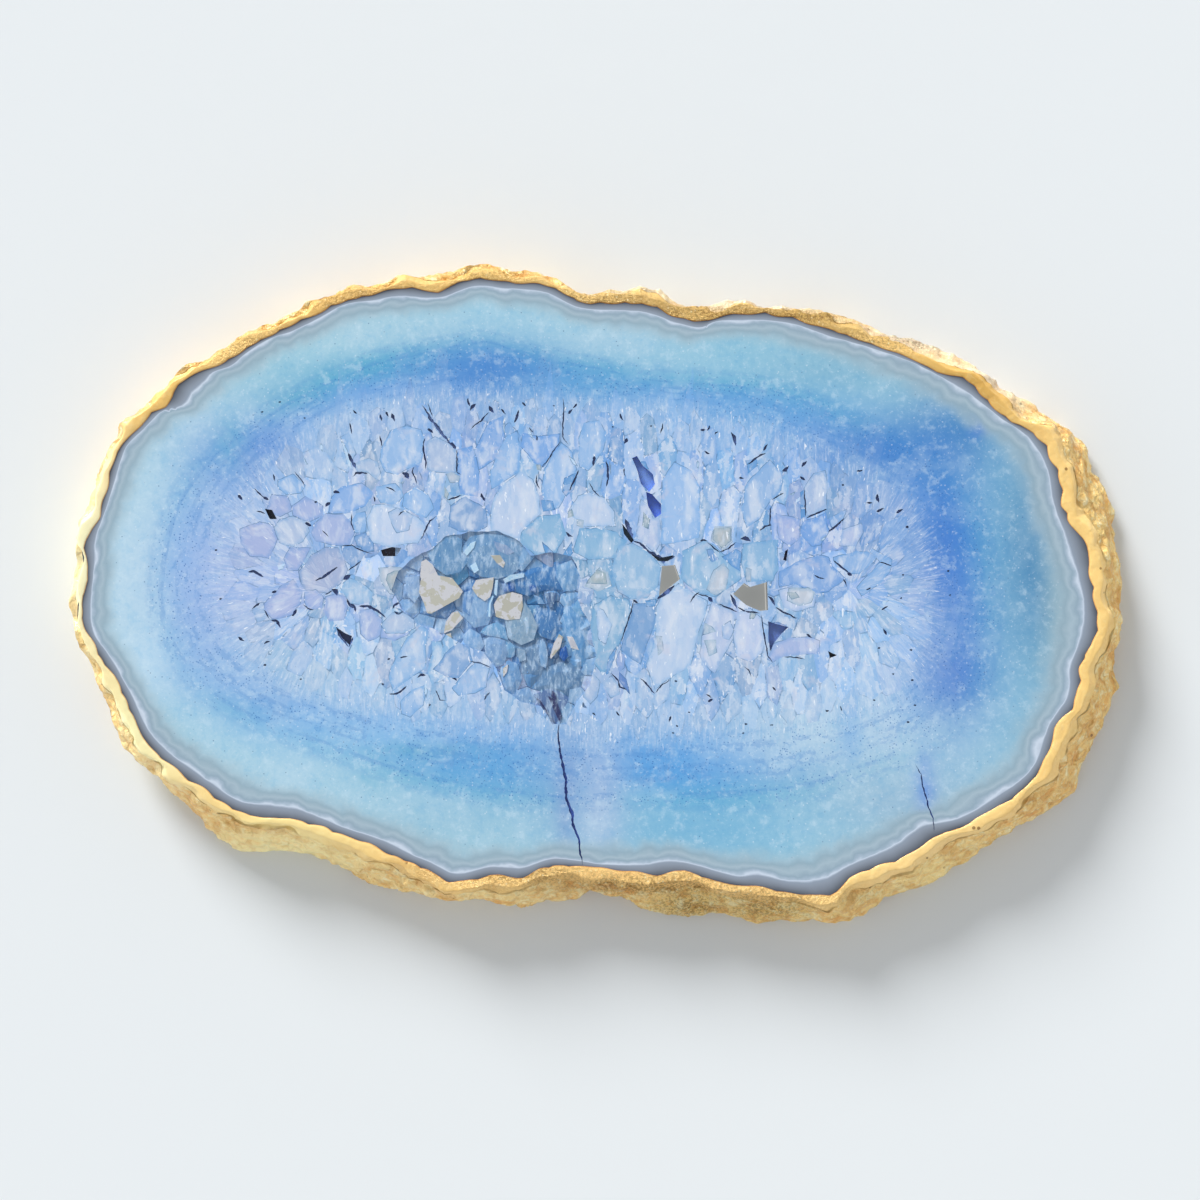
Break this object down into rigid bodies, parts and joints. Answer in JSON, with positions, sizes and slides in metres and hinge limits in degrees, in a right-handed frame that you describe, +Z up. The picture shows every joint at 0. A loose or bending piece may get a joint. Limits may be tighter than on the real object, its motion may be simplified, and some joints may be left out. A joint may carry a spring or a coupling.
{
  "type": "agate slice with a gilded edge",
  "caption": "Oval polished slice of blue banded agate geode with an open crystal hollow and a gilded natural edge, lying flat on its sawn underside.",
  "frame": {"origin": "middle of the slice's outline, on the surface it rests on", "axes": "+X along the long axis of the oval, +Y across it, +Z up out of the polished face"},
  "size_m": [0.2504, 0.1561, 0.0132],
  "materials": {
    "agate": "polished translucent chalcedony in pale to deep blue bands",
    "gilding": "gold leaf on rough rock, lumpy and softly shining",
    "quartz": "glassy blue and grey quartz points"
  },
  "bodies": {
    "root": {"agate_slice": "agate", "gilded_rim": "gilding", "quartz_crust": "quartz"}
  },
  "joints": []
}
